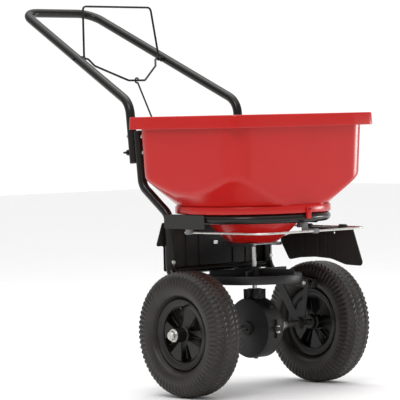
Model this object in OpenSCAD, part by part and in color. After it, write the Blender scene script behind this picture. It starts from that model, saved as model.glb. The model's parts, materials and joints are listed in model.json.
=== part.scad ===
// Push broadcast spreader: a two-wheeled lawn spreader with a poly hopper, a bent
// tube frame and a spinner driven from the axle. All sizes are in millimetres.
// +Z is up, the spreader is pushed towards -Y, and left (+X) and right (-X) are
// as the person at the handle sees them. Modules draw with the axle at Y = 0;
// home() then moves the whole machine so that its origin is bottom centre.

/* [Wheels] */
// Outer radius of a tyre
wheel_r = 165; // [160:1:168]
// Distance between the two tyres' centre planes
track = 477; // [475:1:480]
// Width of a tyre at its widest
tyre_w = 88; // [82:1:88]
// Radius of the rim's flange
rim_r = 94; // [92:1:95]

/* [Hopper] */
// Width of the rim, across the wheels' axis
rim_w = 520; // [500:2:530]
// Length of the rim, along the direction of travel
rim_l = 424; // [416:2:436]
// Height of the rim's top above the ground
rim_z = 732; // [725:1:745]
// Height of the rim's skirt
skirt_h = 33; // [25:1:40]
// Wall thickness of the hopper
wall = 4; // [3:0.5:5]

/* [Frame] */
// Outer radius of the frame and handle tube
tube_r = 12.5; // [12:0.5:13]
// Wall thickness of the tube
tube_t = 1.6; // [1.2:0.2:2]
// Half the distance between the handle arms at their feet
arm_x = 198; // [196:1:200]
// Half the width of the handle at its grip
grip_x = 125; // [118:1:135]
// Height of the grip
grip_z = 1036; // [1020:1:1050]
// Distance of the grip behind the axle
grip_y = 800; // [780:1:820]

/* [Drive] */
// Radius of the axle
axle_r = 8; // [7.5:0.5:8]
// Radius of the spinner shaft
shaft_r = 6.35; // [6:0.05:6.4]
// Radius of the spinner disc
spinner_r = 127; // [115:1:130]
// Teeth on the pinion; the crown gear has four times as many
pinion_teeth = 12; // [12:1:12]

/* [Controls] */
// Height of the bail above its pivots
bail_h = 146; // [135:1:150]
// Radius of the bail, crank and control wires
wire_r = 3; // [2.5:0.5:3]

/* [Hidden] */
$fn = 64;
overlap = 1;      // how far cutting tools run past the material
fit = 0.05;       // radial clearance of a running fit
bore_fit = 0.02;  // radial clearance of a part pressed or pinned to a shaft

// Places that several parts share
axle_z = wheel_r;
wheel_x = track / 2;
post_x = 180;
post_y = 134;
rail_end_y = -45;
rail_end_z = 272;
post_low_z = 300;
loop_z = 461;
loop_r = 194;
ring_r = 207;
ring_z = loop_z + tube_r + 0.3;
ring_h = 20;
floor_z = 392;
rod_z = 427;
rod_x = 200;
rod_front_y = -235;
handle_lean = 0.095;   // Y gained per unit of height by the upright tubes
handle_foot = [arm_x, 248, 612];
arm_bend = [arm_x, 263, 770];
arm_slope = (grip_z - arm_bend.z) / (grip_y - arm_bend.y);
bail_y = 518;
bail_z = arm_bend.z + arm_slope * (bail_y - arm_bend.y);
bail_x = arm_x - (arm_x - grip_x) * (bail_y - arm_bend.y) / (grip_y - arm_bend.y);
hook = [0, bail_y - 61, bail_z - 62];
lever_y = 168;
lever_z = 434;
lever_arm = 60;
lever_drop = 44;
gate_z = 388.5;
crown_r = 60;
face_x = 28;       // half the width of the gearbox
drum_r = 80;
front_y = rod_front_y - 5;
home_y = -(grip_y + tube_r + front_y) / 2;

module home() translate([0, home_y, 0]) children();

// ---- helpers -------------------------------------------------------------

function unit(v) = v / norm(v);
function turn(d) = [0, acos(d.z / norm(d)), atan2(d.y, d.x)];
// Rotation that takes +X to x_dir and +Z to z_dir, two square unit vectors
function frame_turn(x_dir, z_dir) =
    let (y_dir = cross(z_dir, x_dir))
    abs(x_dir.z) > 0.999999
    ? [atan2(-x_dir.z * y_dir.x, y_dir.y), -90 * sign(x_dir.z), 0]
    : [atan2(y_dir.z, z_dir.z), -asin(x_dir.z), atan2(x_dir.y, x_dir.x)];
function corner_angle(a, b, c) = acos(max(-1, min(1, unit(b - a) * unit(c - b))));
function trim(pts, i, bend) =
    i <= 0 || i >= len(pts) - 1 ? 0
    : bend * tan(corner_angle(pts[i - 1], pts[i], pts[i + 1]) / 2);

seam = 0.1;       // gap between a straight length and a bend, bridged by a core
core_cut = 0.08;  // how much slimmer the bridging core is than the bar
core_len = 1;

// A round bar along a list of points, with a true bend of the given radius at each
// corner and straight cylinders between them. Each straight stops a hair short of the
// bend and a slightly slimmer core joins the two, so that no two faces coincide.
module bar(pts, r, bend, extra = 0) {
    last = len(pts) - 1;
    for (i = [0 : last - 1]) {
        d = unit(pts[i + 1] - pts[i]);
        from_bend = i > 0;
        to_bend = i + 1 < last;
        a = pts[i] + d * (trim(pts, i, bend) + (from_bend ? seam : -extra));
        b = pts[i + 1] - d * (trim(pts, i + 1, bend) + (to_bend ? seam : -extra));
        translate(a) rotate(turn(d)) {
            cylinder(r = r, h = norm(b - a));
            if (from_bend) translate([0, 0, -core_len]) cylinder(r = r - core_cut, h = 2 * core_len);
            if (to_bend) translate([0, 0, norm(b - a) - core_len])
                cylinder(r = r - core_cut, h = 2 * core_len);
        }
    }
    for (i = [1 : 1 : last - 1]) {
        d1 = unit(pts[i] - pts[i - 1]);
        d2 = unit(pts[i + 1] - pts[i]);
        n = unit(cross(d1, d2));
        side = cross(n, d1);
        centre = pts[i] - d1 * trim(pts, i, bend) + side * bend;
        translate(centre) rotate(frame_turn(-side, n))
            rotate_extrude(angle = corner_angle(pts[i - 1], pts[i], pts[i + 1]))
                translate([bend, 0]) circle(r = r, $fn = 48);
    }
}

module tube(pts, r, bend, t = tube_t)
    difference() {
        bar(pts, r, bend);
        bar(pts, r - t, bend, overlap);
    }

function flip(pts) = [for (p = pts) [-p.x, p.y, p.z]];

module along_x(x0, x1, r) translate([x0, 0, 0]) rotate([0, 90, 0]) cylinder(r = r, h = x1 - x0);
module along_y(y0, y1, r) translate([0, y1, 0]) rotate([90, 0, 0]) cylinder(r = r, h = y1 - y0);
// A flat plate drawn as a (Y, Z) outline, from X = x0 to x0 + t
module yz_plate(x0, t) translate([x0, 0, 0]) rotate([90, 0, 90]) linear_extrude(t) children();
module hex(r, h) cylinder(r = r, h = h, $fn = 6);

// ---- hopper --------------------------------------------------------------

// Rectangle whose sides bend in a little towards each corner, over a length c
corner_in = 5;
module cut_rect(w, l, c) {
    x = w / 2;
    y = l / 2;
    k = corner_in;
    quarter = [[x, y - c], [x - k, y - k], [x - c, y]];
    polygon(concat(quarter, [for (i = [2 : -1 : 0]) [-quarter[i].x, quarter[i].y]],
                   [for (p = quarter) [-p.x, -p.y]],
                   [for (i = [2 : -1 : 0]) [quarter[i].x, -quarter[i].y]]));
}

body_x = rim_w / 2 - 17;
body_y = rim_l / 2 - 20;
body_r = 46;       // corner radius of the body below the rim
corner_flats = 5;
function body_quarter(inset) = [for (i = [0 : corner_flats]) let (a = i * 90 / corner_flats)
    [body_x - body_r + (body_r - inset) * cos(a), body_y - body_r + (body_r - inset) * sin(a)]];
module body_outline(inset) polygon(concat(
    body_quarter(inset),
    [for (i = [corner_flats : -1 : 0]) [-body_quarter(inset)[i].x, body_quarter(inset)[i].y]],
    [for (p = body_quarter(inset)) [-p.x, -p.y]],
    [for (i = [corner_flats : -1 : 0]) [body_quarter(inset)[i].x, -body_quarter(inset)[i].y]]));
funnel_slope = 0.85;
funnel_top_r = 330;

// Solid of the round base: the bowl and the ring that sits on the frame. inset moves
// it in from the outside face, and top is its height
module base_space(inset, top) rotate_extrude() polygon([
    [0, floor_z + inset], [56, floor_z + inset], [88 - inset, 412 + inset / 2],
    [106 - inset, 428 + inset / 2], [118 - inset, 444], [142 - inset, ring_z + inset / 2 - 8],
    [168 - inset, ring_z + inset],
    [ring_r - inset, ring_z + inset], [ring_r - inset, top], [0, top]]);

// The rounded rectangle above the base, trimmed below by the funnel
module upper_space(inset, bottom, top) intersection() {
    translate([0, 0, bottom]) linear_extrude(top - bottom)
        body_outline(inset);
    rotate_extrude() polygon([
        [0, bottom - overlap], [ring_r - inset, bottom - overlap], [ring_r - inset, ring_z + ring_h],
        [funnel_top_r - inset, ring_z + ring_h + (funnel_top_r - ring_r) * funnel_slope],
        [funnel_top_r - inset, top + overlap], [0, top + overlap]]);
}

port_r = 9;
port_ring = 34;
tab_w = 14;

module hopper() color("#c21f1c") difference() {
    union() {
        base_space(0, ring_z + ring_h);
        upper_space(0, ring_z + ring_h - wall, rim_z);
        translate([0, 0, rim_z - wall]) linear_extrude(wall) cut_rect(rim_w, rim_l, 80);
        translate([0, 0, rim_z - skirt_h]) linear_extrude(skirt_h) difference() {
            cut_rect(rim_w, rim_l, 80);
            cut_rect(rim_w - 2 * wall, rim_l - 2 * wall, 80);
        }
        translate([-tab_w / 2, -ring_r - 6, ring_z - 15]) cube([tab_w, 6, 30]);
        translate([-tab_w / 2, -ring_r - 6, ring_z + 8]) cube([tab_w, 9, 7]);
    }
    base_space(wall, ring_z + ring_h - wall);
    upper_space(wall, ring_z + ring_h - 2 * wall, rim_z + overlap);
    translate([0, 0, floor_z - overlap]) cylinder(r = 10, h = wall + 2 * overlap);
    for (a = [0, 120, 240]) rotate(a + 90)
        translate([port_ring, 0, floor_z - overlap]) cylinder(r = port_r, h = wall + 2 * overlap);
}

module shaft_bushing() color("ivory") translate([0, 0, floor_z]) difference() {
    union() {
        cylinder(r = 10 - fit, h = wall + 1);
        translate([0, 0, wall + 0.2]) cylinder(r = 14, h = 3);
    }
    translate([0, 0, -overlap]) cylinder(r = shaft_r + fit, h = wall + 3 + 2 * overlap);
}

gate_half = 48;
module gate_guides() color("#202020") for (s = [-1, 1]) translate([0, 0, floor_z])
    rotate(s < 0 ? 180 : 0) rotate([90, 0, 0]) linear_extrude(100, center = true)
        polygon([[gate_half + 1, 0], [gate_half + 8, 0], [gate_half + 8, -8], [gate_half - 6, -8],
                 [gate_half - 6, -5], [gate_half + 1, -5]]);

// ---- frame ---------------------------------------------------------------

handle_pts = [flip([handle_foot])[0], flip([arm_bend])[0], [-grip_x, grip_y, grip_z],
              [grip_x, grip_y, grip_z], arm_bend, handle_foot];
knob_z = 637;
upper_bolt_z = 680;
function upright_y(z) = handle_foot.y + handle_lean * (z - handle_foot.z);

module handle_bores(r) for (s = [-1, 1], z = [knob_z, upper_bolt_z])
    translate([s * arm_x, upright_y(z), z]) along_y(-60, 60, r);

module handle() color("#1a1a1a") difference() {
    tube(handle_pts, tube_r, 55);
    handle_bores(3.2);
    translate([-bail_x - 20, bail_y, bail_z]) along_x(0, 2 * bail_x + 40, 5);
}

post_top_z = 694;
post_pts = [[arm_x, 216 + handle_lean * (post_top_z - 548), post_top_z], [arm_x, 216, 548],
            [post_x, post_y, 470],
            [post_x, post_y, post_low_z], [post_x, rail_end_y, rail_end_z]];
plate_bolts = [[-25, 275.1], [85, 292.4]];   // (Y, Z) of the axle plate's bolts on the rail
bracket_z = 441.5;

module frame_tube(s) color("#1a1a1a") difference() {
    tube(s > 0 ? post_pts : flip(post_pts), tube_r, 45);
    handle_bores(3.2);
    for (p = plate_bolts) translate([s * post_x, p.x, p.y]) along_x(-20, 20, 3.2);
    for (z = [bracket_z, 345]) translate([s * post_x, post_y, z]) along_y(-20, 20, 3.2);
}
module left_frame_tube() frame_tube(1);
module right_frame_tube() frame_tube(-1);

module loop_tube() color("#1a1a1a") {
    translate([0, 0, loop_z]) rotate([0, 0, 180]) rotate_extrude(angle = 180)
        translate([loop_r, 0]) difference() {
            circle(r = tube_r);
            circle(r = tube_r - tube_t);
        }
    for (s = [-1, 1]) translate([s * loop_r, 0, loop_z]) difference() {
        along_y(0, 121.2, tube_r);
        along_y(-overlap, 121.2 + overlap, tube_r - tube_t);
    }
}

module side_bracket(s) color("#1a1a1a") difference() {
    union() {
        translate([s > 0 ? 207 : -210, -35, 436]) cube([3, 156, 37]);
        translate([s > 0 ? 168 : -208, 118, 436]) cube([40, 3, 12]);
    }
    translate([s * post_x, 119, bracket_z]) along_y(-5, 5, 3.2);
}
module left_side_bracket() side_bracket(1);
module right_side_bracket() side_bracket(-1);

shield_y = post_y + tube_r + 0.5;
shield_top = 460; // under the loop tube's middle, clear of the hopper's bowl
module rear_shield() color("#161616") translate([0, shield_y + 2, 0]) rotate([90, 0, 0])
    linear_extrude(2) difference() {
        polygon([[-166, shield_top], [166, shield_top], [166, 450], [193, 450], [216, 388], [190, 388],
                 [190, 320], [-190, 320], [-190, 388], [-216, 388], [-193, 450], [-166, 450]]);
        translate([-8, 385.5]) square([16, 8]);
        for (x = [-post_x, post_x], z = [bracket_z, 345]) translate([x, z]) circle(r = 3.2);
    }

module rear_cross_tube() color("#1a1a1a") translate([0, post_y, 322]) difference() {
    along_x(-post_x + tube_r + 0.3, post_x - tube_r - 0.3, 10);
    along_x(-post_x, post_x, 8.4);
}

foot_y = 236;
foot_half = 80;
module stand_leg() color("#1a1a1a") {
    difference() {
        bar([[0, post_y + 6, 312], [0, foot_y, 22]], 10, 0);
        bar([[0, post_y + 6, 312], [0, foot_y, 22]], 8.4, 0, overlap);
        translate([0, post_y, 322]) along_x(-20, 20, 10.3);
    }
    translate([0, foot_y, 16]) difference() {
        along_x(-foot_half, foot_half, 10);
        along_x(-foot_half - overlap, foot_half + overlap, 8.4);
    }
}

module stand_feet() color("#222222") for (s = [-1, 1]) translate([s * (foot_half - 12), foot_y, 0])
    difference() {
        translate([-14, -14, 0]) cube([28, 28, 26]);
        translate([0, 0, 16]) along_x(-20, 20, 10.05);
    }

plate_x = post_x - tube_r - 3.7;
module axle_plate(s) color("#1a1a1a") yz_plate(s > 0 ? plate_x : -plate_x - 3.5, 3.5)
    difference() {
        polygon([[-40, 270], [-36, 284], [98, 305], [98, 282], [20, 168], [12, 148], [-12, 148],
                 [-20, 168]]);
        polygon([[-22, 262], [62, 275], [12, 200], [-10, 200]]);
        translate([0, axle_z]) circle(r = 11 + bore_fit);
        for (p = plate_bolts) translate(p) circle(r = 3.2);
    }
module left_axle_plate() axle_plate(1);
module right_axle_plate() axle_plate(-1);

module axle_bushings() color("ivory") for (s = [0, 180]) translate([0, 0, axle_z]) rotate(s)
    difference() {
        union() {
            along_x(plate_x - 5, plate_x + 8, 11);
            along_x(plate_x - 8, plate_x - 0.1, 16);
        }
        along_x(plate_x - 10, plate_x + 10, axle_r + fit);
    }

// ---- fasteners -----------------------------------------------------------

// Hex bolt along +Z with its head's underside at Z = 0 and a nut at the far end
module bolt(length, r = 3, head = 6, nut = true) {
    translate([0, 0, -4]) hex(head, 4);
    translate([0, 0, -0.05]) cylinder(r = r, h = length + (nut ? 6 : 0));
    if (nut) translate([0, 0, length]) hex(head, 5);
}

module handle_bolts() color("silver") for (s = [-1, 1]) {
    translate([s * arm_x, upright_y(knob_z) - 39.5, knob_z]) rotate([-90, 0, 0])
        bolt(62.5, nut = false);
    translate([s * arm_x, upright_y(upper_bolt_z) - 39.5, upper_bolt_z]) rotate([-90, 0, 0])
        bolt(53.5);
}

module handle_knobs() color("#101010") for (s = [-1, 1])
    translate([s * arm_x, upright_y(knob_z) + 14.5, knob_z]) rotate([-90, 0, 0]) difference() {
        union() {
            cylinder(r = 8, h = 9);
            for (a = [0, 180]) rotate(a) translate([0, -3, 0]) cube([17, 6, 14]);
        }
        translate([0, 0, -overlap]) cylinder(r = 3.02, h = 12);
    }

module frame_bolts() color("silver") for (s = [-1, 1]) {
    for (p = plate_bolts) translate([s * (plate_x - 0.3), p.x, p.y]) rotate([0, 90 * s, 0])
        bolt(14, nut = false);
    translate([s * post_x, 117.7, bracket_z]) rotate([-90, 0, 0]) bolt(31.6);
    translate([s * post_x, post_y - tube_r - 0.3, 345]) rotate([-90, 0, 0]) bolt(28.1);
}

module tube_plugs() color("#0c0c0c") for (s = [-1, 1]) {
    d = unit([0, rail_end_y - post_y, rail_end_z - post_low_z]);
    translate([s * post_x, rail_end_y, rail_end_z]) rotate(turn(d)) {
        translate([0, 0, 0.1]) cylinder(r = tube_r, h = 4);
        translate([0, 0, -10]) cylinder(r = tube_r - tube_t - 0.2, h = 11);
    }
    translate([s * arm_x, handle_foot.y, handle_foot.z]) rotate([-5.4, 0, 0]) {
        translate([0, 0, -4.1]) cylinder(r = tube_r, h = 4);
        translate([0, 0, -1]) cylinder(r = tube_r - tube_t - 0.2, h = 11);
    }
}

// ---- guard rod and deflector ---------------------------------------------

rod_pts = [[-rod_x, 50, rod_z], [-rod_x, rod_front_y, rod_z], [rod_x, rod_front_y, rod_z],
           [rod_x, 50, rod_z]];
module guard_rod() color("#b9bcc0") bar(rod_pts, wire_r, 45);

// Clips that hang the rod from the frame: one at the front, one on each side
module guard_clips() color("#d8d8d8") {
    difference() {
        union() {
            translate([-8, rod_front_y - 5, rod_z - 5]) cube([16, 50, 10]);
            translate([-8, -loop_r - 5, rod_z]) cube([16, 10, loop_z - tube_r - 0.3 - rod_z]);
        }
        translate([0, rod_front_y, rod_z]) along_x(-20, 20, wire_r + bore_fit);
    }
    for (s = [-1, 1]) difference() {
        translate([s * 205 - 9.5, 20, rod_z - 5]) cube([19, 14, 13.7]);
        translate([s * rod_x, 0, rod_z]) along_y(-10, 60, wire_r + bore_fit);
    }
}

knuckles = [[-150, -126], [-20, 4]];
module deflector() color("#141414") difference() {
    union() {
        yz_plate(rod_x + 5, 3) difference() {
            polygon([[-168, 424], [8, 424], [12, 408], [70, 404], [112, 392], [74, 333], [30, 340], [-25, 343],
                     [-85, 340], [-140, 325], [-206, 323]]);
            translate([-100, 410]) circle(r = 3);
        }
        for (k = knuckles) {
            translate([rod_x, 0, rod_z]) along_y(k[0], k[1], 7);
            translate([rod_x, k[0], rod_z - 12]) cube([8, k[1] - k[0], 12]);
        }
        for (y = [-70, -40]) translate([rod_x + 2, y, 350]) cube([4, 4, 70]);
    }
    translate([rod_x, 0, rod_z]) along_y(-200, 60, wire_r + fit);
}

// ---- wheels --------------------------------------------------------------

// Closed outline of a tyre's or tube's section, a rounded square about (0, r_mid)
function ring_section(r_mid, half_w, half_h, power, n = 36) = [for (i = [0 : n - 1])
    let (a = 360 * i / n, c = cos(a), s = sin(a))
    [r_mid + half_h * sign(s) * pow(abs(s), 2 / power),
     half_w * sign(c) * pow(abs(c), 2 / power)]];

tyre_mid = (wheel_r + rim_r) / 2 + 0.5;
tyre_half = (wheel_r - rim_r) / 2 - 0.5;
module turned(x) translate([x, 0, axle_z]) rotate([0, 90, 0]) rotate_extrude($fn = 96) children();

module tyre(x) color("#242322") turned(x) difference() {
    polygon(ring_section(tyre_mid, tyre_w / 2, tyre_half, 3.4));
    polygon(ring_section(tyre_mid - 1, tyre_w / 2 - 8, tyre_half - 8, 2.8));
    translate([rim_r - 6, -22]) square([15, 44]);
}
module left_tyre() tyre(wheel_x);
module right_tyre() tyre(-wheel_x);

module inner_tube(x) color("#303030") turned(x) difference() {
    translate([tyre_mid, 0]) circle(r = 24);
    translate([tyre_mid, 0]) circle(r = 22);
}
module left_inner_tube() inner_tube(wheel_x);
module right_inner_tube() inner_tube(-wheel_x);

spokes = 5;
opening_turn = 8;     // angle of the outer half's first opening, from +Y towards +Z
hub_r = 19;
// One half of a two-piece moulded rim, drawn with its outer face towards +X.
// bore is the hub's radius inside and hub_len how far the hub stands out. The inner half
// has its openings between those of the outer one, and a thin web closes it at the joint.
module rim_half(bore, hub_len, closed) difference() {
    union() {
        rotate([0, 90, 0]) rotate_extrude($fn = 96) polygon([
            [76, 0.1], [rim_r - 7, 0.1], [rim_r - 7, 18], [rim_r - 0.5, 21.5], [rim_r - 0.5, 28],
            [rim_r - 4, 30], [78, 26], [74, 22], [hub_r, 22], [hub_r, 18], [74, 18], [76, 16]]);
        along_x(0.1, hub_len, hub_r);
        if (closed) along_x(0.6, 2.2, 78);
    }
    along_x(-overlap, hub_len + overlap, bore);
    rotate([90, 0, 90]) translate([0, 0, 10]) linear_extrude(20)
        for (k = [0 : spokes - 1]) rotate(opening_turn + (k + (closed ? 0.5 : 0)) * 360 / spokes) intersection() {
            difference() {
                circle(r = 72);
                circle(r = 23);
            }
            polygon([[0, 0], [90 * cos(18), -90 * sin(18)], [90 * cos(18), 90 * sin(18)]]);
        }
}

hub_out = 55;
hub_in = 36;
module at_wheel(x) translate([x, 0, axle_z]) children();
module pin_bore() translate([wheel_x + hub_out - 10, 0, axle_z]) cylinder(r = 3.02, h = 60, center = true);
module left_rim_outer() color("#1c1b1a") difference() {
    at_wheel(wheel_x) rim_half(axle_r + bore_fit, hub_out, false);
    pin_bore();
}
module left_rim_inner() color("#1c1b1a")
    at_wheel(wheel_x) mirror([1, 0, 0]) rim_half(axle_r + bore_fit, hub_in, true);
module right_rim_outer() color("#1c1b1a")
    at_wheel(-wheel_x) mirror([1, 0, 0]) rim_half(axle_r + fit, hub_out, false);
module right_rim_inner() color("#1c1b1a")
    at_wheel(-wheel_x) rim_half(axle_r + fit, hub_in, true);

// ---- axle and gearbox ----------------------------------------------------

axle_half = wheel_x + hub_out + 13;
module axle() color("#9a9da0") difference() {
    at_wheel(0) along_x(-axle_half, axle_half, axle_r);
    pin_bore();
}
module drive_pin() color("silver")
    translate([wheel_x + hub_out - 10, 0, axle_z]) cylinder(r = 3, h = 44, center = true);
module both_ends(x0, x1, r) for (s = [0, 180]) at_wheel(0) rotate(s) difference() {
    along_x(x0, x1, r);
    along_x(x0 - overlap, x1 + overlap, axle_r + bore_fit);
}
washer_x = wheel_x + hub_out + 0.5;
module hub_washers() color("silver") both_ends(washer_x, washer_x + 3, 17);
module axle_nuts() color("silver") for (s = [0, 180]) at_wheel(0) rotate(s) difference() {
    translate([washer_x + 3, 0, 0]) rotate([0, 90, 0]) hex(14, 7);
    along_x(washer_x, washer_x + 20, axle_r + bore_fit);
}
module axle_collars() color("silver") both_ends(96, 108, 14);

crown_teeth = 4 * pinion_teeth;
tooth_w = 2;
crown_inset = 7; // the crown's teeth run this far inside the pitch circle
tooth_l = 15;
pinion_r = crown_r / 4;
crown_back = -23;
crown_root = -pinion_r - 3.5;
crown_tip = -pinion_r + 2;
module crown_gear() color("#8c8f93") at_wheel(0) difference() {
    union() {
        along_x(crown_back, crown_root, crown_r + 9);
        along_x(crown_back, 12, 16);
        for (k = [0 : crown_teeth - 1]) rotate([(k + 0.5) * 360 / crown_teeth, 0, 0])
            translate([crown_root - 0.1, -tooth_w / 2, crown_r - crown_inset])
                cube([crown_tip - crown_root + 0.1, tooth_w, tooth_l]);
    }
    along_x(-60, 60, axle_r + bore_fit);
}

pinion_z = axle_z + crown_r;
module pinion() color("#8c8f93") translate([0, 0, pinion_z - 8]) difference() {
    union() {
        cylinder(r = pinion_r - 3, h = 16);
        for (k = [0 : pinion_teeth - 1]) rotate(180 + k * 360 / pinion_teeth)
            translate([pinion_r - 4, -tooth_w / 2, 0]) cube([5.6, tooth_w, 16]);
    }
    translate([0, 0, -overlap]) cylinder(r = shaft_r + bore_fit, h = 16 + 2 * overlap);
}

drum_wall = 3;
flange_y = drum_r + 12;
module drum() at_wheel(0) difference() {
    union() {
        along_x(-face_x, face_x, drum_r);
        translate([-14, -flange_y, -5]) cube([28, 2 * flange_y, 10]);
        cylinder(r = 20, h = 104);
        for (s = [-1, 1]) along_x(min(s * face_x, s * (face_x + 8)), max(s * face_x, s * (face_x + 8)), 18);
    }
    along_x(-face_x + drum_wall, face_x - drum_wall, drum_r - drum_wall);
    along_x(-60, 60, 11);
    cylinder(r = shaft_r + fit, h = 120);
    for (s = [-1, 1]) translate([0, s * (flange_y - 6), -10]) cylinder(r = 3.2, h = 20);
}
module gearbox_upper() color("#1b1b1b") intersection() {
    drum();
    translate([-100, -150, axle_z + 0.05]) cube([200, 300, 200]);
}
module gearbox_lower() color("#222120") intersection() {
    drum();
    translate([-100, -150, axle_z - 200.05]) cube([200, 300, 200]);
}
module gearbox_bolts() color("silver") for (s = [-1, 1])
    translate([0, s * (flange_y - 6), axle_z + 5.3]) rotate([180, 0, 0]) bolt(10.6);
module gearbox_bushings() color("ivory") for (s = [0, 180]) at_wheel(0) rotate(s) difference() {
    along_x(face_x - 2, face_x + 8, 11 - bore_fit);
    along_x(face_x - 8, face_x + 10, axle_r + fit);
}

// ---- spinner -------------------------------------------------------------

spinner_z = 300;
fins = 5;
module spinner() color("#171717") difference() {
    union() {
        translate([0, 0, spinner_z]) rotate_extrude() polygon([
            [0, 0], [100, 0], [spinner_r - 3, 4], [spinner_r - 3, -14], [spinner_r, -14],
            [spinner_r, 8], [100, 3], [0, 3]]);
        translate([0, 0, spinner_z - 8]) cylinder(r = 18, h = 36);
        for (k = [0 : fins - 1]) rotate(k * 360 / fins) translate([16, -1.5, spinner_z + 2])
            cube([spinner_r - 22, 3, 20]);
    }
    translate([0, 0, spinner_z - 20]) cylinder(r = shaft_r + bore_fit, h = 60);
}

agitator_z = 412;
module spinner_shaft() color("#b0b3b6") difference() {
    translate([0, 0, 195]) cylinder(r = shaft_r, h = 235);
    translate([0, 0, agitator_z]) along_x(-10, 10, 2.52);
}
module agitator() color("#b0b3b6")
    bar([[-52, 0, agitator_z + 26], [-52, 0, agitator_z], [52, 0, agitator_z],
         [52, 0, agitator_z + 26]], 2.5, 8);

// ---- controls ------------------------------------------------------------

module bail_bushings() color("#151515") for (s = [0, 180]) translate([0, bail_y, bail_z])
    rotate(s) difference() {
        union() {
            along_x(bail_x - tube_r - 1.5, bail_x + tube_r + 1.5, 4.9);
            along_x(bail_x - tube_r - 4.5, bail_x - tube_r - 1.3, 8);
        }
        along_x(bail_x - 30, bail_x + 30, wire_r + fit);
    }

pivot_out = bail_x + tube_r + 6;
bail_side = bail_x - tube_r - 12;
sleeve = 5.5;
// The upright loop that the hand pulls back; a sleeve at each foot grips the crank wire
module bail() color("#161616") difference() {
    union() {
        bar([[-bail_side, bail_y, bail_z], [-grip_x, bail_y + 17, bail_z + bail_h],
             [grip_x, bail_y + 17, bail_z + bail_h], [bail_side, bail_y, bail_z]], wire_r, 12);
        for (s = [-1, 1]) translate([s * bail_side, bail_y, bail_z]) along_x(-4, 4, sleeve);
    }
    translate([0, bail_y, bail_z]) along_x(-pivot_out, pivot_out, wire_r + bore_fit);
}

// The low loop that the control rod hangs from; its ends turn in the handle's bushings
crank_side = bail_side - 14;
module crank_wire() color("#161616")
    bar([[-pivot_out, bail_y, bail_z], [-crank_side, bail_y, bail_z],
         [-crank_side + 12, bail_y - 14, bail_z - 20], [-30, hook.y, hook.z], [30, hook.y, hook.z],
         [crank_side - 12, bail_y - 14, bail_z - 20], [crank_side, bail_y, bail_z],
         [pivot_out, bail_y, bail_z]], wire_r, 9);

rod_tip = [0, lever_y + lever_arm, lever_z];
rod_dir = unit(rod_tip - hook);
rod_angle = atan2(rod_dir.z, rod_dir.y);
rod_r = 2.5;
hook_r = wire_r + rod_r + 1.2;
eye_slot = 10;     // how far the lever's pin can ride up the eye
module control_rod() color("#161616") {
    // hook over the crank wire, from the shank round the back and over to the front
    translate(hook) rotate([90, 0, 90]) rotate(rod_angle - 4) rotate_extrude(angle = 285)
        translate([hook_r, 0]) circle(r = rod_r, $fn = 32);
    bar([hook + rod_dir * (hook_r - 0.5), rod_tip - rod_dir * (eye_slot + 7.2)], rod_r, 0);
    // long eye round the lever's pin
    yz_plate(-1.5, 3) translate([rod_tip.y, rod_tip.z]) rotate(rod_angle) difference() {
        union() {
            translate([-eye_slot, -8.5]) square([eye_slot + 1, 17]);
            for (x = [-eye_slot, 1]) translate([x, 0]) circle(r = 8.5);
        }
        translate([-eye_slot, -6]) square([eye_slot + 1, 12]);
        for (x = [-eye_slot, 1]) translate([x, 0]) circle(r = 6);
    }
}

module lever_bracket() color("#1a1a1a") translate([0, shield_y + 2.1, 0]) difference() {
    union() {
        translate([-16, 0, lever_z - 14]) cube([32, 3, 28]);
        for (x = [-11, 8]) translate([x, 0, lever_z - 8]) cube([3, lever_y - shield_y + 6, 16]);
    }
    translate([0, lever_y - shield_y - 2.1, lever_z]) along_x(-20, 20, 3.02);
}

module gate_lever() color("#2a2a2a") difference() {
    union() {
        yz_plate(2.5, 3) {
            translate([lever_y, lever_z]) circle(r = 8);
            translate([lever_y, lever_z - 4]) square([lever_arm, 8]);
            translate([lever_y + lever_arm, lever_z]) circle(r = 5);
            translate([lever_y - 4, lever_z - lever_drop]) square([8, lever_drop]);
            translate([lever_y, lever_z - lever_drop]) circle(r = 4.5);
        }
        translate([0, lever_y, lever_z]) along_x(-13, 13, 2.97);
        translate([0, lever_y + lever_arm, lever_z]) along_x(-4, 3, 2);
        translate([0, lever_y, lever_z - lever_drop]) along_x(-4, 3, 2);
    }
}

gate_travel = 22.7;
strap_end = lever_y - 9;
module gate_plate() color("#b4b7ba") difference() {
    union() {
        translate([-gate_half, -52, gate_z]) cube([2 * gate_half, 112, 2]);
        translate([-6, 55, gate_z]) cube([12, strap_end - 55, 2]);
        translate([-5, strap_end - 6, gate_z - 6]) cube([3, 22, 21.5]);
    }
    translate([0, -gate_travel - 2, gate_z - overlap]) {
        cylinder(r = 9, h = 4);
        translate([-9, 0, 0]) cube([18, gate_travel + 4, 4]);
        translate([0, gate_travel + 4, 0]) cylinder(r = 9, h = 4);
    }
    for (a = [0, 120, 240]) translate([0, -gate_travel, 0]) rotate(a + 90)
        translate([port_ring, 0, gate_z - overlap]) cylinder(r = port_r, h = 4);
    translate([-10, lever_y - 3, gate_z - 2]) cube([10, 6, 14]);
}

// ---- the machine ---------------------------------------------------------

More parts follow.
